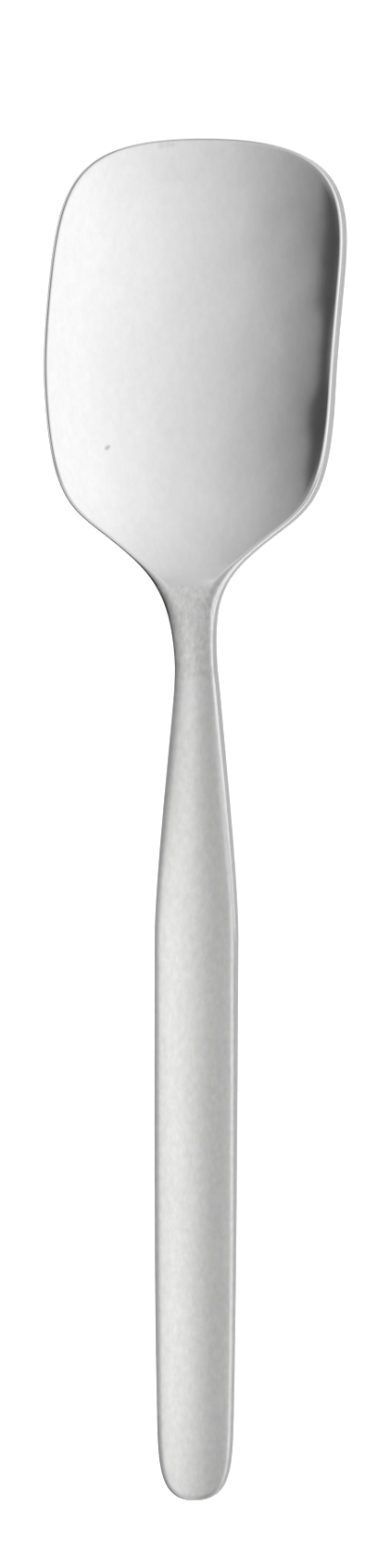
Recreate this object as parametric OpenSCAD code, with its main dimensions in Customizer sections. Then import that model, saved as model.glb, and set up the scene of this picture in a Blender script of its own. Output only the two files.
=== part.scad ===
// Ice cream spoon, pressed from one piece of stainless steel.
// The bowl lies to the front (+Y) with its hollow up (+Z), resting on a flat surface at Z = 0.
// Places along the spoon are measured back from the front edge. The handle's line lies on the Y axis, and the
// bowl sits a little askew on it: its front edge to one side, its back to the other.

/* [Overall] */
// Length from the front edge of the bowl to the end of the handle
overall_length = 145; // [130:1:175]

/* [Bowl] */
// Width of the bowl at its widest
bowl_width = 31.1; // [26:0.1:36]
// Length from the front edge to the widest place
front_length = 17.2; // [14:0.2:22]
// Length from the widest place to the middle of the shoulders
side_length = 25.2; // [21:0.1:30]
// Width at the middle of the shoulders
shoulder_width = 17.6; // [14:0.2:21]
// Angle between the shoulders and the line of the handle
shoulder_angle = 52; // [42:1:62]
// Sideways set of the front edge, to the right of the handle's line
front_set = 0.9; // [-1.5:0.1:1.5]
// Sideways set of the back of the bowl, to the left of the handle's line
back_set = 0.7; // [-1.5:0.1:1.5]
// Length from the front edge to where the bowl's middle line starts to cross the handle's line
cross_start = 2; // [0:0.5:6]
// Length over which it crosses
cross_length = 25; // [14:0.5:28]
// Radius of the hollow across the bowl
bowl_hollow_radius = 30; // [22:0.5:44]
// Length from the front edge to the lowest place of the bowl
lowest_place = 22; // [16:0.5:28]
// Rise of the front edge above the lowest place
lip_rise = 1.7; // [0.6:0.1:3]
// Thickness of the steel in the bowl
bowl_thickness = 1.3; // [1:0.1:2]
// Length over which the steel thickens from the bowl to the waist
thickening_length = 18; // [12:0.5:24]
// Radius that rounds the rim of the bowl
rim_round = 0.35; // [0.1:0.05:0.5]

/* [Neck] */
// Length from the middle of the shoulders to the waist
neck_length = 13.6; // [11:0.1:18]
// Length from the middle of the shoulders to where the hollow starts to turn into the neck's crown
neck_root_setback = 1.2; // [0.4:0.1:2.4]
// Length over which the hollow turns into the crown
crown_length = 8.4; // [7:0.1:12]
// Width of the neck at its waist
waist_width = 4.1; // [3.4:0.1:5.4]
// Thickness of the steel in the neck
neck_thickness = 3; // [2.6:0.1:4]
// Height of the neck's front face at its crest
crest_height = 7.4; // [6:0.1:10]
// Length from the waist to the crest
crest_setback = 4; // [2:0.5:10]
// Radius of the crown across the neck's front
neck_crown_radius = 5; // [4:0.1:12]
// Radius of the rounded back of the neck
neck_back_radius = 6; // [5:0.1:14]
// Radius that rounds the edges of the neck
neck_round = 0.8; // [0.4:0.05:0.9]

/* [Handle] */
// Length over which the handle widens behind the waist
flare_length = 29.4; // [24:0.2:36]
// Width of the handle behind the flare
handle_width = 8.6; // [7:0.1:11]
// Width of the handle where its round end starts
end_width = 8.1; // [6.6:0.1:10]
// Length of the round end
end_length = 8.8; // [6:0.1:12]
// Angle by which each side leans in where the round end starts
end_lean = 1.4; // [0:0.1:3]
// Thickness of the steel in the handle
handle_thickness = 2.6; // [2.4:0.1:3.4]
// Radius of the crown across the handle's front
handle_crown_radius = 11; // [9:0.5:40]
// Radius of the gently rounded back of the handle
handle_back_radius = 45; // [30:1:90]
// Length at the end of the handle that lies level on the table
rest_length = 13; // [9:0.5:20]
// Depth of the flat that the table gives the back of the handle there
rest_flat = 0.12; // [0.06:0.02:0.2]
// Radius that rounds the edges of the handle
handle_round = 0.6; // [0.2:0.05:0.7]

/* [Hidden] */

// Half widths
half_bowl = bowl_width / 2;
half_shoulder = shoulder_width / 2;
half_waist = waist_width / 2;
half_handle = handle_width / 2;
half_end = end_width / 2;

// Places along the spoon
widest = front_length;
shoulder = widest + side_length;
waist = shoulder + neck_length;
crest = waist + crest_setback;
flare_end = waist + flare_length;
end_start = overall_length - end_length;
rest_start = overall_length - rest_length;
thickening = waist - thickening_length;
neck_root = shoulder + neck_root_setback;
crown_full = neck_root + crown_length;
cross_end = cross_start + cross_length;

// Radius across the underside of the bowl
bowl_back_radius = bowl_hollow_radius + bowl_thickness;

// Share of the wall at an edge that each of its two roundings may take
round_share = 0.45;

// Shares of a curve's length that its end directions pull, for fullness of the outline
front_share = 0.98;
corner_share = 0.64;
side_share = 0.83;
shoulder_share = 0.23;
neck_share = 0.45;
waist_share = 0.57;
flare_start_share = 0.1;
flare_end_share = 0.25;
handle_share = 0.3;
end_side_share = 0.6;
end_tip_share = 0.93;

// Shares of the neck curve and of the flare where one finish gives way to the next
polish_share = 0.5;
satin_share = 0.12;

// Ribs fan out from the middle of the spoon over these lengths at its two ends
front_fan_share = 0.8;
front_fan = front_fan_share * front_length;
end_fan = end_width;

// Numbers of steps along each stretch and across each rib
front_steps = 22;
side_steps = 18;
neck_steps = 9;
waist_steps = 3;
flare_steps = 16;
handle_steps = 16;
end_steps = 12;
edge_steps = 3;
rib_steps = 8;

// Share of the first and last curve that leaves out only the very middle of the outline's ends
tip_share = 0.02;

// Plain curves
function mix(a, b, t) = a + (b - a) * t;
function ease(t) = let (c = max(0, min(1, t))) c * c * (3 - 2 * c);
function between(s, from, to) = ease((s - from) / (to - from));
function bezier(p, t) =
    pow(1 - t, 3) * p[0] + 3 * pow(1 - t, 2) * t * p[1] + 3 * (1 - t) * t * t * p[2] + pow(t, 3) * p[3];
function trace(curve, from, to, steps) = [for (i = [0:steps]) bezier(curve, mix(from, to, i / steps))];

// Lists of points
function mirrored(points) = [for (p = points) [-p[0], p[1], p[2]]];
function backwards(points) = [for (i = [len(points) - 1:-1:0]) points[i]];
function without_first(points) = [for (i = [1:len(points) - 1]) points[i]];
function without_last(points) = [for (i = [0:len(points) - 2]) points[i]];

// Height of an arc above its own middle, from its bend (one over its radius)
function arc_rise(x, bend) = bend * x * x / (1 + sqrt(1 - pow(bend * x, 2)));

// Half outline, as curves of [half width, place along the spoon]
shoulder_point = [half_shoulder, shoulder];
shoulder_slope = [-sin(shoulder_angle), cos(shoulder_angle)];
end_point = [half_end, end_start];
end_slope = [-sin(end_lean), cos(end_lean)];
front_curve = [
    [0, 0],
    [front_share * half_bowl, 0],
    [half_bowl, widest * (1 - corner_share)],
    [half_bowl, widest]
];
side_curve = [
    [half_bowl, widest],
    [half_bowl, widest + side_share * side_length],
    shoulder_point - shoulder_share * side_length * shoulder_slope,
    shoulder_point
];
neck_curve = [
    shoulder_point,
    shoulder_point + neck_share * neck_length * shoulder_slope,
    [half_waist, waist - waist_share * neck_length],
    [half_waist, waist]
];
flare_curve = [
    [half_waist, waist],
    [half_waist, waist + flare_start_share * flare_length],
    [half_handle, flare_end - flare_end_share * flare_length],
    [half_handle, flare_end]
];
handle_curve = [
    [half_handle, flare_end],
    [half_handle, mix(flare_end, end_start, handle_share)],
    end_point - handle_share * (end_start - flare_end) * end_slope,
    end_point
];
end_curve = [
    end_point,
    end_point + end_side_share * end_length * end_slope,
    [end_tip_share * half_end, overall_length],
    [0, overall_length]
];

// Stretches of the half outline that each sub-part follows
bowl_outline = concat(
    trace(front_curve, tip_share, 1, front_steps),
    without_first(trace(side_curve, 0, 1, side_steps)),
    without_first(trace(neck_curve, 0, polish_share, neck_steps))
);
neck_outline = concat(
    trace(neck_curve, polish_share, 1, neck_steps),
    without_first(trace(flare_curve, 0, satin_share, waist_steps))
);
handle_outline = concat(
    trace(flare_curve, satin_share, 1, flare_steps),
    without_first(trace(handle_curve, 0, 1, handle_steps)),
    without_first(trace(end_curve, 0, 1 - tip_share, end_steps))
);

// Front face along the middle: lip, lowest place, crest of the neck, handle lying down to its end
function face_height(s) =
    s < lowest_place ? bowl_thickness + lip_rise * pow(1 - s / lowest_place, 2)
    : s < crest ? mix(bowl_thickness, crest_height, between(s, lowest_place, crest))
    : mix(crest_height, handle_thickness - rest_flat, between(s, crest, rest_start));

// Value that changes from bowl to neck between two places, and from neck to handle along the flare
function along(s, start, full, in_bowl, in_neck, in_handle) =
    mix(mix(in_bowl, in_neck, between(s, start, full)), in_handle, between(s, waist, flare_end));

// Sideways set of the middle line: it crosses over along the bowl, and the neck brings it back to the handle
function sideways(s) =
    mix(mix(front_set, -back_set, between(s, cross_start, cross_end)), 0, between(s, neck_root, crest));

function thickness(s) = along(s, thickening, waist, bowl_thickness, neck_thickness, handle_thickness);
function face_bend(s) =
    along(s, neck_root, crown_full, 1 / bowl_hollow_radius, -1 / neck_crown_radius, -1 / handle_crown_radius);
function back_bend(s) =
    along(s, neck_root, crown_full, 1 / bowl_back_radius, 1 / neck_back_radius, 1 / handle_back_radius);
function wall(x, s) = thickness(s) + arc_rise(x, face_bend(s)) - arc_rise(x, back_bend(s));
function edge_round(x, s) =
    min(along(s, neck_root, crown_full, rim_round, neck_round, handle_round), round_share * wall(x, s));

// Place on the middle line where the two halves of a rib meet
function rib_root(s) =
    max((s + front_fan) / 2, min(s, (s + overall_length - end_fan) / 2));

// Points of half a rib from the edge to the middle: insets from the edge with the drop of the rounding
function rib_insets(length, round) = concat(
    [for (i = [0:edge_steps], a = 90 * i / edge_steps) round * [1 - cos(a), 1 - sin(a)]],
    [for (i = [1:rib_steps]) [mix(round, length, i / rib_steps), 0]]
);
function front_point(x, s, drop) =
    [x, overall_length / 2 - s, face_height(s) + arc_rise(x, face_bend(s)) - drop];
function back_point(x, s, drop) =
    [x, overall_length / 2 - s, face_height(s) - thickness(s) + arc_rise(x, back_bend(s)) + drop];
function half_rib(edge, front) =
    let (root = rib_root(edge[1]), length = norm([edge[0], root - edge[1]]))
    [for (inset = rib_insets(length, edge_round(edge[0], edge[1])))
        let (t = inset[0] / length, x = edge[0] * (1 - t), s = mix(edge[1], root, t))
        front ? front_point(x, s, inset[1]) : back_point(x, s, inset[1])];

// Ring of points round the spoon at one place: front face left to right, then back face right to left
function even_ring(edge) =
    let (front = half_rib(edge, true), back = half_rib(edge, false))
    concat(
        mirrored(front),
        backwards(without_last(front)),
        back,
        mirrored(backwards(without_last(back)))
    );
function ring(edge) = [for (p = even_ring(edge)) p + [sideways(overall_length / 2 - p[1]), 0, 0]];

// Faces that close an end where the outline comes to the middle line: front strip, edge, back strip
half_count = edge_steps + rib_steps + 1;
ring_count = 4 * half_count - 2;
function strip(first, last) = [
    for (i = [0:half_count - 2]) each [
        [first + i, first + i + 1, last - i],
        if (i < half_count - 2) [first + i + 1, last - i - 1, last - i]
    ]
];
function end_faces(start) = concat(
    strip(start, start + 2 * half_count - 2),
    [[start, start + 2 * half_count - 2, start + 2 * half_count - 1],
     [start, start + 2 * half_count - 1, start + ring_count - 1]],
    strip(start + 2 * half_count - 1, start + ring_count - 1)
);
function turned(faces) = [for (f = faces) backwards(f)];
function flat_face(start) = [[for (i = [0:ring_count - 1]) start + i]];

// Solid through the rings of one stretch of outline, with flat faces where it meets its neighbours
module stretch(outline, front_end = false, back_end = false) {
    rings = [for (edge = outline) ring(edge)];
    last = (len(rings) - 1) * ring_count;
    sides = [
        for (r = [0:len(rings) - 2], i = [0:ring_count - 1])
            let (a = r * ring_count + i, b = r * ring_count + (i + 1) % ring_count)
            each [[a, b, b + ring_count], [a, b + ring_count, a + ring_count]]
    ];
    polyhedron(
        points = [for (r = rings) each r],
        faces = concat(
            sides,
            front_end ? turned(end_faces(0)) : turned(flat_face(0)),
            back_end ? end_faces(last) : flat_face(last)
        ),
        convexity = 6
    );
}

// Polished bowl, from the front edge to the foot of the shoulders
module bowl() {
    color("gainsboro") stretch(bowl_outline, front_end = true);
}

// Narrow neck that carries the bowl
module neck() {
    color("darkgray") stretch(neck_outline);
}

// Satin handle with its round end, its back flattened by the table plane
module handle() {
    color("silver") difference() {
        stretch(handle_outline, back_end = true);
        translate([-handle_width, -overall_length, -handle_thickness])
            cube([2 * handle_width, overall_length, handle_thickness]);
    }
}

bowl();
neck();
handle();
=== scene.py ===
"""Ice cream spoon of stainless steel: a polished bowl, a ground neck and a satin handle.

The spoon lies along Y with its hollow up. Places along it, called s, are measured back from the front edge
of the bowl. Lengths are in millimetres until a mesh is made."""
import math

import bpy
import numpy as np
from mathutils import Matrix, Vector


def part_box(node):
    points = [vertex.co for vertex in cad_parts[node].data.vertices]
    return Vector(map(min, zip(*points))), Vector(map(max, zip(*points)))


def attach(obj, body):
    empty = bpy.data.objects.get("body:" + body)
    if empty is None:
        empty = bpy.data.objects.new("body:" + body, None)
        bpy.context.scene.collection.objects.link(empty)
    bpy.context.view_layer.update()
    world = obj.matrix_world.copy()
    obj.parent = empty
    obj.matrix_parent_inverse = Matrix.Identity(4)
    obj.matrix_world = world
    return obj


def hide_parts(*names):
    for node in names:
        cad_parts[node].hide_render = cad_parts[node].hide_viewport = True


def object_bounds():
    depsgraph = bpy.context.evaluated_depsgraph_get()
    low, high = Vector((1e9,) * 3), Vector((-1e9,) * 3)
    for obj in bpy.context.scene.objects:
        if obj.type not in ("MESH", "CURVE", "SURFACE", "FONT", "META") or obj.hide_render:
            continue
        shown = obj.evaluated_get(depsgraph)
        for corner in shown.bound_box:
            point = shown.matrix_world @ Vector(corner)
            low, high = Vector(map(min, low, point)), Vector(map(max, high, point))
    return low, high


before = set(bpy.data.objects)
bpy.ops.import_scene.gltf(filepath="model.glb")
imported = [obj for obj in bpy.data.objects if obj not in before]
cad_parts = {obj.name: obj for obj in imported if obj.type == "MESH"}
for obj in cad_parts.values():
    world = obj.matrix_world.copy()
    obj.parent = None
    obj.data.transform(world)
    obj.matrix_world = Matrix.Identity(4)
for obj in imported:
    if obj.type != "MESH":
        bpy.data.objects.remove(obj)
cad_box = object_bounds()
MM = 0.001

# Sizes that the frame shows
overall_length = (cad_box[1][1] - cad_box[0][1]) / MM
crest_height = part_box("handle")[1][2] / MM

# Bowl
bowl_width = 31.1
front_length = 17.2
side_length = 25.2
shoulder_width = 17.6
shoulder_angle = math.radians(52)
front_set = 0.9
back_set = 0.7
cross_start = 2
cross_length = 25
bowl_hollow_radius = 30
shoulder_hollow_radius = 28
hollow_change_length = 16
lowest_place = 22
lip_rise = 1.7
bowl_thickness = 1.3
thickening_length = 18
rim_edge_width = 0.5
rim_edge_depth = 0.5

# Neck
neck_length = 13.6
neck_root_setback = 1.2
back_crown_length = 8.4
face_crown_setback = 4.5
face_crown_length = 4.3
collar_start_setback = 1.6
collar_length = 3.6
waist_width = 4.1
neck_thickness = 3
crest_setback = 4
neck_crown_radius = 5
neck_back_radius = 6
collar_edge_width = 1.3
collar_edge_depth = 1.1
neck_edge_width = 1.1
neck_edge_depth = 0.4

# Handle
flare_length = 29.4
handle_width = 8.6
end_width = 8.1
end_length = 8.8
end_lean = math.radians(1.4)
handle_thickness = 2.6
handle_crown_radius = 11
handle_back_radius = 45
rest_length = 13
rest_flat = 0.12
handle_edge_width = 0.65
handle_edge_depth = 0.27

# Shares: fullness of the outline's curves, reach of the front's fan, changes of finish, rounding of a wall
front_share, corner_share = 0.98, 0.64
side_share, shoulder_share = 0.83, 0.23
neck_share, waist_share = 0.45, 0.57
flare_start_share, flare_end_share = 0.1, 0.25
handle_share = 0.3
end_side_share, end_tip_share = 0.6, 0.93
front_fan_share = 0.8
polish_share = 0.5
satin_share = 0.12
back_round_share = 0.25

# Places along the spoon, and the reach of the fans of ribs at its two ends
shoulder = front_length + side_length
waist = shoulder + neck_length
crest = waist + crest_setback
flare_end = waist + flare_length
end_start = overall_length - end_length
rest_start = overall_length - rest_length
thickening = waist - thickening_length
neck_root = shoulder + neck_root_setback
back_crown_full = neck_root + back_crown_length
face_crown_start = shoulder + face_crown_setback
face_crown_full = face_crown_start + face_crown_length
collar_start = shoulder + collar_start_setback
collar_full = collar_start + collar_length
front_fan = front_fan_share * front_length
end_fan = end_width

# Steps along each stretch and across half a rib, decimals that weld points, least length of a vector
front_steps, side_steps, neck_steps, waist_steps = 64, 56, 30, 12
flare_steps, handle_steps, end_steps = 60, 64, 40
edge_steps, rib_steps = 12, 30
weld_decimals = 6
least_length = 1e-12


def mix(a, b, t):
    """Value at a share t of the way from a to b."""
    return a + (b - a) * t


def ease(t):
    """Smooth step from 0 to 1: three times t squared less twice t cubed."""
    c = np.clip(t, 0, 1)
    return c * c * (3 - 2 * c)


def between(s, start, end):
    """Eased share of the way from start to end."""
    return ease((s - start) / (end - start))


def along(s, start, full, in_bowl, in_neck, in_handle):
    """Value that eases from bowl to neck between two places, then to the handle along the flare."""
    to_neck = mix(in_bowl, in_neck, between(s, start, full))
    return mix(to_neck, in_handle, between(s, waist, flare_end))


def arc_rise(x, bend):
    """Height of a circular arc at x above its own middle, from its bend, one over its radius."""
    return bend * x * x / (1 + np.sqrt(1 - (bend * x) ** 2))


def sideways(s):
    """Sideways set of the middle line: it crosses over along the bowl, and the neck brings it back."""
    askew = mix(front_set, -back_set, between(s, cross_start, cross_start + cross_length))
    return mix(askew, 0, between(s, neck_root, crest))


def face_height(s):
    """Height of the front face along the middle: a parabola at the lip, eased up to the crest and down."""
    lip = bowl_thickness + lip_rise * (1 - np.minimum(s / lowest_place, 1)) ** 2
    rise = (crest_height - bowl_thickness) * between(s, lowest_place, crest)
    fall = (handle_thickness - rest_flat - crest_height) * between(s, crest, rest_start)
    return lip + rise + fall


def thickness(s):
    """Thickness along the middle, eased from bowl to neck and from neck to handle."""
    return along(s, thickening, waist, bowl_thickness, neck_thickness, handle_thickness)


def hollow_radius(s):
    """Radius across the bowl's hollow, a little smaller towards the shoulders."""
    to_shoulders = between(s, lowest_place, lowest_place + hollow_change_length)
    return mix(bowl_hollow_radius, shoulder_hollow_radius, to_shoulders)


def face_bend(s):
    """Bend across the front face: hollow in the bowl, crowned on the neck and handle."""
    neck_crown, handle_crown = -1 / neck_crown_radius, -1 / handle_crown_radius
    return along(s, face_crown_start, face_crown_full, 1 / hollow_radius(s), neck_crown, handle_crown)


def back_bend(s):
    """Bend across the back face, always rounded downwards."""
    bowl_back = 1 / (hollow_radius(s) + bowl_thickness)
    neck_back, handle_back = 1 / neck_back_radius, 1 / handle_back_radius
    return along(s, neck_root, back_crown_full, bowl_back, neck_back, handle_back)


def edge(s, at_rim, at_collar, at_neck, at_handle):
    """Size of the rounding along the front edge: rim, collar where the neck starts, neck and handle."""
    past_collar = mix(at_collar, at_neck, between(s, collar_full, back_crown_full))
    return along(s, collar_start, collar_full, at_rim, past_collar, at_handle)


def rib_root(s):
    """Place on the middle line where a rib starts: ribs fan out at both ends, and run straight between."""
    return np.clip(s, (s + front_fan) / 2, (s + overall_length - end_fan) / 2)


def bezier(points, start, end, steps):
    """Points of a cubic curve from share start to share end, both included."""
    t = np.linspace(start, end, steps + 1)[:, None]
    a, b, c, d = np.array(points, dtype=float)
    return (1 - t) ** 3 * a + 3 * (1 - t) ** 2 * t * b + 3 * (1 - t) * t * t * c + t ** 3 * d


def outline_curves():
    """Control points of the half outline, as (half width, place).

    Cubic curves run from the tip round the front corner, down the side, in to the waist, out along the
    flare, along the handle and round its end."""
    half_bowl, half_waist, half_handle = bowl_width / 2, waist_width / 2, handle_width / 2
    foot = np.array([shoulder_width / 2, shoulder])
    foot_slope = np.array([-math.sin(shoulder_angle), math.cos(shoulder_angle)])
    turn = np.array([end_width / 2, end_start])
    turn_slope = np.array([-math.sin(end_lean), math.cos(end_lean)])
    front = [
        [0, 0],
        [front_share * half_bowl, 0],
        [half_bowl, front_length * (1 - corner_share)],
        [half_bowl, front_length],
    ]
    side = [
        [half_bowl, front_length],
        [half_bowl, front_length + side_share * side_length],
        foot - shoulder_share * side_length * foot_slope,
        foot,
    ]
    neck = [
        foot,
        foot + neck_share * neck_length * foot_slope,
        [half_waist, waist - waist_share * neck_length],
        [half_waist, waist],
    ]
    flare = [
        [half_waist, waist],
        [half_waist, waist + flare_start_share * flare_length],
        [half_handle, flare_end - flare_end_share * flare_length],
        [half_handle, flare_end],
    ]
    shaft = [
        [half_handle, flare_end],
        [half_handle, mix(flare_end, end_start, handle_share)],
        turn - handle_share * (end_start - flare_end) * turn_slope,
        turn,
    ]
    end = [
        turn,
        turn + end_side_share * end_length * turn_slope,
        [end_tip_share * turn[0], overall_length],
        [0, overall_length],
    ]
    return front, side, neck, flare, shaft, end


def half_outline():
    """Half width and place of every station, and the stations where the finish changes."""
    front, side, neck, flare, shaft, end = outline_curves()
    stretches = [
        bezier(front, 0, 1, front_steps),
        bezier(side, 0, 1, side_steps)[1:],
        bezier(neck, 0, polish_share, neck_steps)[1:],
        bezier(neck, polish_share, 1, neck_steps)[1:],
        bezier(flare, 0, satin_share, waist_steps)[1:],
        bezier(flare, satin_share, 1, flare_steps)[1:],
        bezier(shaft, 0, 1, handle_steps)[1:],
        bezier(end, 0, 1, end_steps)[1:],
    ]
    polish_row = front_steps + side_steps + neck_steps
    satin_row = polish_row + neck_steps + waist_steps
    outline = np.vstack(stretches)
    return outline[:, 0], outline[:, 1], polish_row, satin_row


def half_face(half_width, place, root, edge_width, edge_depth):
    """Half a face at each station: distance out from the middle line, place, and depth below the face.

    A rib goes from the outline to the middle line. Its first points follow a quarter ellipse that rounds
    the edge, and the rest lie evenly on the face."""
    turn = np.linspace(0, math.pi / 2, edge_steps + 1)
    share = np.linspace(0, 1, rib_steps + 1)[1:]
    length = np.hypot(half_width, root - place)
    inset = np.hstack([edge_width * (1 - np.cos(turn)), mix(edge_width, length, share)]) / length
    depth = np.hstack([edge_depth * (1 - np.sin(turn)), np.zeros_like(length * share)])
    return half_width * (1 - inset), mix(place, root, inset), depth


def both_halves(x, s, height):
    """Right and left halves of a face, set sideways with the middle line."""
    y = overall_length / 2 - s
    right_half = np.stack([sideways(s) + x, y, height], axis=-1)
    left_half = np.stack([sideways(s) - x, y, height], axis=-1)
    return right_half, left_half


def rings_round(half_width, place):
    """Closed ring of points at each station: front face left to right, then back face right to left.

    The height of a face is its height along the middle plus an arc across, less the rounding of its edge.
    The back is cut level where it rests."""
    root = rib_root(place)[:, None]
    half_width, place = half_width[:, None], place[:, None]
    face_rise, back_rise = arc_rise(half_width, face_bend(place)), arc_rise(half_width, back_bend(place))
    wall = thickness(place) + face_rise - back_rise
    edge_width = edge(place, rim_edge_width, collar_edge_width, neck_edge_width, handle_edge_width)
    edge_depth = edge(place, rim_edge_depth, collar_edge_depth, neck_edge_depth, handle_edge_depth)
    x, s, depth = half_face(half_width, place, root, edge_width, edge_depth)
    front_right, front_left = both_halves(x, s, face_height(s) + arc_rise(x, face_bend(s)) - depth)
    x, s, depth = half_face(half_width, place, root, back_round_share * wall, back_round_share * wall)
    under = face_height(s) - thickness(s) + arc_rise(x, back_bend(s)) + depth
    back_right, back_left = both_halves(x, s, np.maximum(under, 0))
    return np.concatenate([front_left, front_right[:, -2::-1], back_right, back_left[:, -2::-1]], axis=1)


def unit(vectors):
    """Vectors divided by their lengths."""
    return vectors / np.maximum(np.linalg.norm(vectors, axis=-1, keepdims=True), least_length)


def ring_normals(rings):
    """Outward normals: the mean of the facets round each point, level across the middle at the two tips."""
    ahead = np.roll(rings, -1, axis=1)
    facets = unit(np.cross(ahead[1:] - rings[:-1], ahead[:-1] - rings[1:]))
    facets = np.concatenate([facets[:1], facets, facets[-1:]])
    rows = facets[1:] + facets[:-1]
    normals = rows + np.roll(rows, 1, axis=1)
    normals[[0, -1], :, 0] = 0
    return unit(normals)


def link(name, points, faces, material):
    """New object at the origin from points in millimetres."""
    mesh = bpy.data.meshes.new(name)
    mesh.from_pydata((np.asarray(points) * MM).tolist(), [], faces)
    mesh.materials.append(material)
    made = bpy.data.objects.new(name, mesh)
    bpy.context.scene.collection.objects.link(made)
    return made


def spoon_piece(name, rings, normals, first, last, material):
    """Mesh through the rings first to last, with a flat face at each end that meets a neighbour.

    Points that fall together at a tip are welded. The normals are those of the whole spoon, so that no line
    shows where two pieces meet."""
    count = rings.shape[1]
    loose = np.round(rings[first:last + 1].reshape(-1, 3), weld_decimals)
    points, kept, welded = np.unique(loose, axis=0, return_index=True, return_inverse=True)
    grid = welded.reshape(-1, count)
    beside = np.roll(grid, -1, axis=1)
    quads = np.stack([grid[:-1], grid[1:], beside[1:], beside[:-1]], axis=-1).reshape(-1, 4)
    corner_normals = [normals[first:last + 1].reshape(-1, 3)[kept][quads.ravel()]]
    faces = quads.tolist()
    if first > 0:
        faces.append(grid[0].tolist())
        corner_normals.append(np.tile([0.0, 1.0, 0.0], (count, 1)))
    if last < len(rings) - 1:
        faces.append(grid[-1, ::-1].tolist())
        corner_normals.append(np.tile([0.0, -1.0, 0.0], (count, 1)))
    piece = link(name, points, faces, material)
    piece.data.polygons.foreach_set("use_smooth", [True] * len(faces))
    piece.data.normals_split_custom_set(np.vstack(corner_normals).tolist())
    return piece


def colour(code):
    """Linear red, green, blue and alpha of an sRGB hex colour, by the standard's own formula."""
    levels = np.array([int(code[i:i + 2], 16) for i in (1, 3, 5)]) / 255
    linear = np.where(levels <= 0.04045, levels / 12.92, ((levels + 0.055) / 1.055) ** 2.4)
    return (*linear.tolist(), 1.0)


def add(tree, kind, links=(), **settings):
    """Adds a shader node, sets its properties, and fills its inputs from values or sockets."""
    node = tree.nodes.new(kind)
    for name, value in settings.items():
        setattr(node, name, value)
    for key, value in dict(links).items():
        if isinstance(value, bpy.types.NodeSocket):
            tree.links.new(value, node.inputs[key])
        else:
            node.inputs[key].default_value = value
    return node


def new_material(name):
    """Empty node material and its tree."""
    material = bpy.data.materials.new(name)
    material.use_nodes = True
    material.node_tree.nodes.clear()
    return material, material.node_tree


# Patterns of the steel. The real grain is about 0.05 mm wide, and is drawn coarser so that it shows
grain_mm = 0.25
grain_squeeze = 0.5
cloud_mm, wave_mm = 6, 7
mottle_detail, grain_detail, cloud_detail, wave_detail = 5.0, 3.0, 3.0, 1.0
mottle_roughness = 0.7
cloud_low, cloud_high = 0.3, 0.7

# Marks of use, as (x, s, radius, depth of tone), and the run-out of the polish
speck = [(-9.4, 33.1, 0.28, 0.35), (-9.2, 32.9, 0.28, 0.35)]
tip_marks = [(-3.6, 0.9, 0.5, 0.12), (-2.9, 0.8, 0.4, 0.1), (-2.4, 0.8, 0.4, 0.1)]
mark_tone = "#505050"
mark_core_share = 0.4
run_out_tone = "#D2D2D2"
run_out_length = 2


def per_metre(size_mm):
    """Noise scale that gives features of about this size."""
    return 1 / (size_mm * MM)


def mark(tree, place, tone, x, s, radius, depth):
    """Tone with a small dark mark on the front face, x from the handle's line and s from the front edge."""
    height = face_height(s) + arc_rise(x - sideways(s), face_bend(s))
    spot = np.array([x, overall_length / 2 - s, height]) * MM
    apart = add(tree, "ShaderNodeVectorMath", {0: place, 1: spot.tolist()}, operation="DISTANCE")
    dark = add(
        tree, "ShaderNodeMapRange",
        {"Value": apart.outputs["Value"], "From Min": mark_core_share * radius * MM,
         "From Max": radius * MM, "To Min": depth, "To Max": 0.0}
    )
    return add(
        tree, "ShaderNodeMix", {"Factor": dark.outputs["Result"], "A": tone, "B": colour(mark_tone)},
        data_type="RGBA"
    ).outputs["Result"]


def run_out(tree, place, tone):
    """Tone that dulls evenly towards the place where the polishing of the bowl ends."""
    line = overall_length / 2 - polish_end
    along_spoon = add(tree, "ShaderNodeSeparateXYZ", {"Vector": place}).outputs["Y"]
    dull = add(
        tree, "ShaderNodeMapRange",
        {"Value": along_spoon, "From Min": line * MM, "From Max": (line + run_out_length) * MM,
         "To Min": 1.0, "To Max": 0.0}
    )
    return add(
        tree, "ShaderNodeMix", {"Factor": dull.outputs["Result"], "A": tone, "B": colour(run_out_tone)},
        data_type="RGBA"
    ).outputs["Result"]


def mottled_tone(tree, drawn, light, dark, mottle_mm):
    """Tone mixed from light to dark by a rough noise."""
    mottle = add(
        tree, "ShaderNodeTexNoise",
        {"Vector": drawn, "Scale": per_metre(mottle_mm), "Detail": mottle_detail,
         "Roughness": mottle_roughness}
    )
    return add(
        tree, "ShaderNodeMix", {"Factor": mottle.outputs["Fac"], "A": colour(light), "B": colour(dark)},
        data_type="RGBA"
    ).outputs["Result"]


def cloudy_roughness(tree, place, roughness, roughness_change):
    """Roughness that goes up and down with slow clouds of noise."""
    cloud = add(
        tree, "ShaderNodeTexNoise", {"Vector": place, "Scale": per_metre(cloud_mm), "Detail": cloud_detail}
    )
    return add(
        tree, "ShaderNodeMapRange",
        {"Value": cloud.outputs["Fac"], "From Min": cloud_low, "From Max": cloud_high,
         "To Min": roughness - roughness_change, "To Max": roughness + roughness_change}
    ).outputs["Result"]


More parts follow.
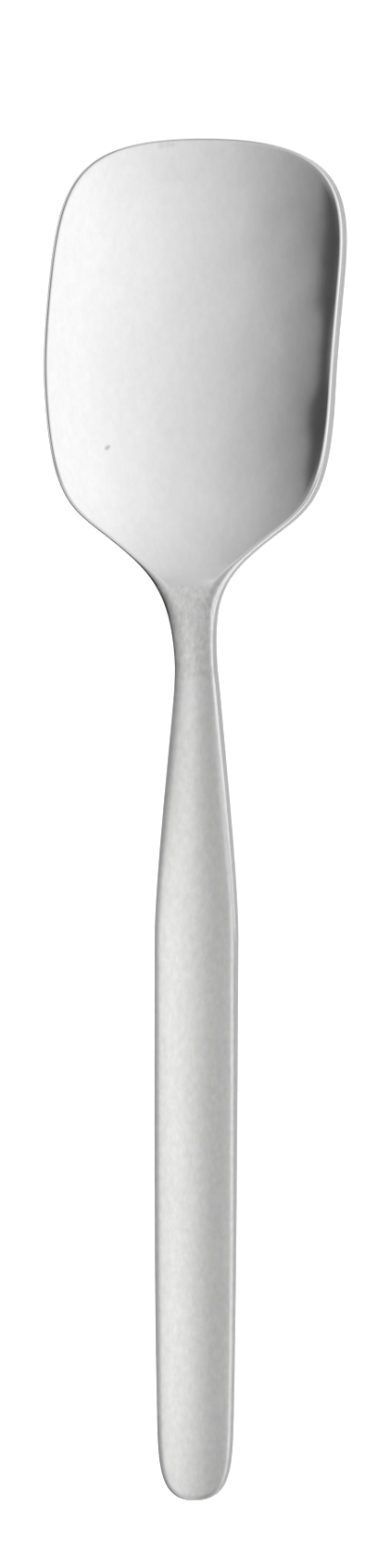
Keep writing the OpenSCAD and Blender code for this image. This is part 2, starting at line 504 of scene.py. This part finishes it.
def grain_on_waves(tree, place, drawn, grain_height, wave_height):
    """Normal with a bump of fine grain on top of a bump of slow waves."""
    wave = add(
        tree, "ShaderNodeTexNoise", {"Vector": place, "Scale": per_metre(wave_mm), "Detail": wave_detail}
    )
    grain = add(
        tree, "ShaderNodeTexNoise", {"Vector": drawn, "Scale": per_metre(grain_mm), "Detail": grain_detail}
    )
    swell = add(
        tree, "ShaderNodeBump",
        {"Height": wave.outputs["Fac"], "Strength": 1.0, "Distance": wave_height * MM}
    )
    return add(
        tree, "ShaderNodeBump",
        {"Height": grain.outputs["Fac"], "Strength": 1.0, "Distance": grain_height * MM,
         "Normal": swell.outputs["Normal"]}
    ).outputs["Normal"]


def steel(name, light, dark, roughness, roughness_change, mottle_mm, grain_height, wave_height, marks=(),
          runs_out=False):
    """Bare stainless steel: mottled tone, small marks, cloudy roughness, fine grain and slow waves.

    The grain is drawn out along the spoon by squeezing its place there."""
    material, tree = new_material(name)
    place = add(tree, "ShaderNodeTexCoord").outputs["Object"]
    drawn = add(
        tree, "ShaderNodeMapping", {"Vector": place, "Scale": (1, grain_squeeze, 1)}
    ).outputs["Vector"]
    tone = mottled_tone(tree, drawn, light, dark, mottle_mm)
    for spot in marks:
        tone = mark(tree, place, tone, *spot)
    if runs_out:
        tone = run_out(tree, place, tone)
    shader = add(
        tree, "ShaderNodeBsdfPrincipled",
        {"Base Color": tone, "Metallic": 1.0,
         "Roughness": cloudy_roughness(tree, place, roughness, roughness_change),
         "Normal": grain_on_waves(tree, place, drawn, grain_height, wave_height)}
    )
    add(tree, "ShaderNodeOutputMaterial", {"Surface": shader.outputs["BSDF"]})
    return material


# Camera and floor. Rows of the photograph give the framing
frame_rows, tip_row, end_row = 1692, 148, 1620
camera_height, camera_reach = 2000, 10000
sensor_long_side = 36
floor_half = 5000
board_tone, board_glow = "#E8E8E8", 0.32

# Light tent: its size, span in degrees, strength, places along Y where its light changes, and dark strip
tent_radius = 36
tent_half_length = 300
tent_steps = 64
tent_span = 180
straight_up = 0.5
tent_strength, tent_dim_strength = 1.35, 0.9
tent_front_dim, tent_end_dim = (86, 106), (-68, -85)
front_slant = 0.8
neck_light = (-24, 20)
bowl_light = (34, 42.5)
strip_middle, strip_reach, strip_bend = 52, 9, 0.08

# Tones of the tent by degrees from straight up, right of the spoon positive
bowl_tones = [
    (-90, "#D4D4D4"), (-56, "#CCCCCC"), (-46, "#383838"), (-38, "#464646"), (-35, "#848484"),
    (-20, "#ADADAD"), (-8, "#CACACA"), (10, "#E7E7E7"), (26, "#F8F8F8"), (46, "#FCFCFC"), (57, "#B4B4B4"),
]
neck_tones = [
    (-90, "#747474"), (-60, "#A0A0A0"), (-45, "#B8B8B8"), (-34, "#C6C6C6"), (-20, "#D4D4D4"),
    (-8, "#E0E0E0"), (6, "#C2C2C2"), (18, "#B0B0B0"), (64, "#A8A8A8"), (80, "#FFFFFF"),
]
handle_tones = [
    (-90, "#909090"), (-60, "#ACACAC"), (-42, "#E4E4E4"), (-30, "#F6F6F6"), (-18, "#EEEEEE"),
    (0, "#D4D4D4"), (16, "#B4B4B4"), (28, "#ACACAC"), (42, "#B0B0B0"), (58, "#FFFFFF"), (72, "#B8B8B8"),
]

# Grey cards, shadow lamp and surroundings
left_side, right_side = -1, 1
card_gap = 1.0
card_height = 0.2
rim_card_end = 37
neck_card_start, neck_card_end = 45, 57
lamp_energy, lamp_angle = 2.9, math.radians(0.6)
shadow_tilt = math.radians(4)
dim_level = 0.05


def studio_camera():
    """Camera straight above the spoon, its long side along it, framed by the rows of the photograph."""
    row_size = overall_length / (end_row - tip_row)
    centre_place = (frame_rows / 2 - tip_row) * row_size
    data = bpy.data.cameras.new("studio_camera")
    data.sensor_width = sensor_long_side
    data.lens = sensor_long_side * (camera_height - crest_height / 2) / (frame_rows * row_size)
    data.clip_end = camera_reach * MM
    camera = bpy.data.objects.new("studio_camera", data)
    camera.location = (0, (overall_length / 2 - centre_place) * MM, camera_height * MM)
    bpy.context.scene.collection.objects.link(camera)
    bpy.context.scene.camera = camera


def floor():
    """White floor: about a third of its light is its own, and the lamp gives the rest and so the shadow."""
    material, tree = new_material("matt_white_board")
    board = add(tree, "ShaderNodeBsdfDiffuse", {"Color": colour(board_tone)})
    glow = add(tree, "ShaderNodeEmission", {"Color": colour("#FFFFFF"), "Strength": board_glow})
    both = add(tree, "ShaderNodeAddShader", {0: board.outputs["BSDF"], 1: glow.outputs["Emission"]})
    add(tree, "ShaderNodeOutputMaterial", {"Surface": both.outputs["Shader"]})
    corners = floor_half * np.array([[-1, -1, 0], [1, -1, 0], [1, 1, 0], [-1, 1, 0]])
    link("floor", corners, [(0, 1, 2, 3)], material)


def reflected_only(thing):
    """Marks a studio object that shows in reflections but neither to the camera nor as light or shadow."""
    thing.visible_camera = False
    thing.visible_diffuse = False
    thing.visible_shadow = False


def tent_angle(tree, axes):
    """Angle from straight up, as a share of the half turn from the left foot to the right foot."""
    lean = add(tree, "ShaderNodeMath", {0: axes["X"], 1: axes["Z"]}, operation="ARCTAN2")
    return add(
        tree, "ShaderNodeMapRange",
        {"Value": lean.outputs["Value"], "From Min": -math.pi / 2, "From Max": math.pi / 2}
    ).outputs["Result"]


def bent_angle(tree, axes, turn):
    """Angle less a part that grows with the square of the way along Y from the middle of the strip."""
    away = add(
        tree, "ShaderNodeMapRange",
        {"Value": axes["Y"], "From Min": (strip_middle - strip_reach) * MM,
         "From Max": (strip_middle + strip_reach) * MM, "To Min": -strip_reach, "To Max": strip_reach}
    ).outputs["Result"]
    squared = add(tree, "ShaderNodeMath", {0: away, 1: away}, operation="MULTIPLY").outputs["Value"]
    return add(
        tree, "ShaderNodeMath", {0: squared, 1: -strip_bend / tent_span, 2: turn}, operation="MULTIPLY_ADD"
    ).outputs["Value"]


def tone_by_angle(tree, turn, stops):
    """Colour ramp through stops of degrees and hex colour, with straight up in its middle."""
    node = add(tree, "ShaderNodeValToRGB", {"Fac": turn})
    elements = node.color_ramp.elements
    while len(elements) < len(stops):
        elements.new(straight_up)
    for element, (degrees, code) in zip(elements, stops):
        element.position = straight_up + degrees / tent_span
        element.color = colour(code)
    return node.outputs["Color"]


def tent_tone(tree, axes):
    """Tones over the handle, eased along Y to those over the neck and then to those over the bowl."""
    turn = tent_angle(tree, axes)
    over_bowl = tone_by_angle(tree, bent_angle(tree, axes, turn), bowl_tones)
    over_neck = tone_by_angle(tree, turn, neck_tones)
    tone = tone_by_angle(tree, turn, handle_tones)
    for over_part, (starts, full) in ((over_neck, neck_light), (over_bowl, bowl_light)):
        share = add(
            tree, "ShaderNodeMapRange",
            {"Value": axes["Y"], "From Min": starts * MM, "From Max": full * MM},
            interpolation_type="SMOOTHSTEP"
        )
        tone = add(
            tree, "ShaderNodeMix", {"Factor": share.outputs["Result"], "A": tone, "B": over_part},
            data_type="RGBA"
        ).outputs["Result"]
    return tone


def tent_dimming(tree, axes):
    """Strength that falls past the handle's end and past the bowl's front, there sooner on the right."""
    slanted = add(
        tree, "ShaderNodeMath", {0: axes["X"], 1: front_slant, 2: axes["Y"]}, operation="MULTIPLY_ADD"
    ).outputs["Value"]
    at_front, at_end = (
        add(
            tree, "ShaderNodeMapRange",
            {"Value": way, "From Min": starts * MM, "From Max": full * MM,
             "To Min": tent_strength, "To Max": tent_dim_strength}
        ).outputs["Result"]
        for way, (starts, full) in ((slanted, tent_front_dim), (axes["Y"], tent_end_dim))
    )
    return add(tree, "ShaderNodeMath", {0: at_front, 1: at_end}, operation="MINIMUM").outputs["Value"]


def tent_cloth():
    """Glowing cloth, toned by its angle from straight up.

    Over the bowl it is bright on the right and falls off to a dark strip on the left, and these tones bend
    to the right towards both ends of the bowl. Over the neck and the handle it is bright left of the middle
    and dimmer on the right, with a bright strip low on the right."""
    material, tree = new_material("tent_cloth")
    place = add(tree, "ShaderNodeTexCoord").outputs["Object"]
    axes = add(tree, "ShaderNodeSeparateXYZ", {"Vector": place}).outputs
    light = add(
        tree, "ShaderNodeEmission", {"Color": tent_tone(tree, axes), "Strength": tent_dimming(tree, axes)}
    )
    add(tree, "ShaderNodeOutputMaterial", {"Surface": light.outputs["Emission"]})
    return material


def light_tent():
    """Half cylinder of cloth over the spoon: an arch of even steps, drawn along Y."""
    angle = np.linspace(-math.pi / 2, math.pi / 2, tent_steps + 1)
    arch = np.stack([np.sin(angle), np.zeros_like(angle), np.cos(angle)], axis=-1) * tent_radius
    near, far = (arch + [0, y, 0] for y in (-tent_half_length, tent_half_length))
    strip = np.arange(tent_steps)
    across = tent_steps + 1
    faces = np.stack([strip, strip + 1, strip + across + 1, strip + across], axis=-1)
    reflected_only(link("light_tent", np.vstack([near, far]), faces.tolist(), tent_cloth()))


def grey_card(name, side, tone, first, last):
    """Grey card on the floor beside the spoon from place first to last, which shades the spoon's edge.

    Its inner side follows the outline at a small gap, and its outer side is the foot of the tent."""
    material, tree = new_material(name)
    card = add(tree, "ShaderNodeEmission", {"Color": colour(tone), "Strength": 1.0})
    add(tree, "ShaderNodeOutputMaterial", {"Surface": card.outputs["Emission"]})
    beside = (places >= first) & (places <= last)
    x = np.pad((sideways(places) + side * (half_widths + card_gap))[beside], 1, mode="edge")
    s = np.concatenate([[first], places[beside], [last]])
    inner = np.stack([x, overall_length / 2 - s, np.full(len(s), card_height)], axis=-1)
    outer = inner * [0, 1, 1] + [side * tent_radius, 0, 0]
    row = np.arange(len(inner) - 1)
    faces = np.stack([row, row + 1, row + 1 + len(inner), row + len(inner)], axis=-1)
    reflected_only(link(name, np.vstack([inner, outer]), faces.tolist(), material))


def shadow_lamp():
    """Small far lamp, a little left of straight up, that draws the thin shadow along the right edges."""
    data = bpy.data.lights.new("shadow_lamp", "SUN")
    data.energy = lamp_energy
    data.angle = lamp_angle
    lamp = bpy.data.objects.new("shadow_lamp", data)
    lamp.rotation_euler = (0, -shadow_tilt, 0)
    lamp.visible_glossy = False
    bpy.context.scene.collection.objects.link(lamp)


def surroundings():
    """White all round for the camera and for reflections, dim for the light that reaches the floor."""
    world = bpy.data.worlds.new("studio")
    world.use_nodes = True
    tree = world.node_tree
    tree.nodes.clear()
    path = add(tree, "ShaderNodeLightPath")
    seen = path.outputs["Is Camera Ray"]
    for ray in ("Is Glossy Ray", "Is Transmission Ray"):
        seen = add(
            tree, "ShaderNodeMath", {0: seen, 1: path.outputs[ray]}, operation="MAXIMUM"
        ).outputs["Value"]
    level = add(tree, "ShaderNodeMapRange", {"Value": seen, "To Min": dim_level, "To Max": 1.0})
    white = add(
        tree, "ShaderNodeBackground", {"Color": colour("#FFFFFF"), "Strength": level.outputs["Result"]}
    )
    add(tree, "ShaderNodeOutputWorld", {"Surface": white.outputs["Background"]})
    bpy.context.scene.world = world


bpy.context.scene.view_settings.view_transform = "Standard"
half_widths, places, polish_row, satin_row = half_outline()
polish_end = places[polish_row]
rings = rings_round(half_widths, places)
normals = ring_normals(rings)

studio_camera()
floor()
light_tent()
grey_card("bowl_card", left_side, "#B4B4B4", 0, neck_card_start)
grey_card("neck_card", left_side, "#282828", neck_card_start, neck_card_end)
grey_card("handle_card", left_side, "#B4B4B4", neck_card_end, end_start)
grey_card("end_card", left_side, "#848484", end_start, overall_length + tent_radius)
grey_card("edge_card", right_side, "#C0C0C0", flare_end, overall_length)
grey_card("rim_card", right_side, "#DADADA", 0, rim_card_end)
shadow_lamp()
surroundings()

# Polished steel reflects almost like a mirror, with slow waves from the press and a few small marks of use
polished = steel(
    "polished_stainless_steel", light="#E7E7E7", dark="#D7D7D7", roughness=0.11, roughness_change=0.02,
    mottle_mm=0.7, grain_height=0.0004, wave_height=0.08, marks=speck + tip_marks, runs_out=True
)
# Ground steel, where the polishing wheel runs out, is dull with fine pits, drawn coarser so that they show
ground = steel(
    "ground_stainless_steel", light="#F6F6F5", dark="#A8A8A8", roughness=0.32, roughness_change=0.05,
    mottle_mm=0.4, grain_height=0.004, wave_height=0.03
)
# Satin steel has a fine grain that softens every reflection
satin = steel(
    "satin_stainless_steel", light="#ECECEB", dark="#C6C6C6", roughness=0.3, roughness_change=0.03,
    mottle_mm=0.5, grain_height=0.004, wave_height=0.02
)

last_row = len(rings) - 1
bowl = spoon_piece("polished_bowl", rings, normals, 0, polish_row, polished)
neck = spoon_piece("ground_neck", rings, normals, polish_row, satin_row, ground)
handle = spoon_piece("satin_handle", rings, normals, satin_row, last_row, satin)
for piece, node, slot in (
    (bowl, "bowl", "polished_steel"), (neck, "neck", "satin_steel"), (handle, "handle", "satin_steel")
):
    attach(piece, "root")
    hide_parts(node)
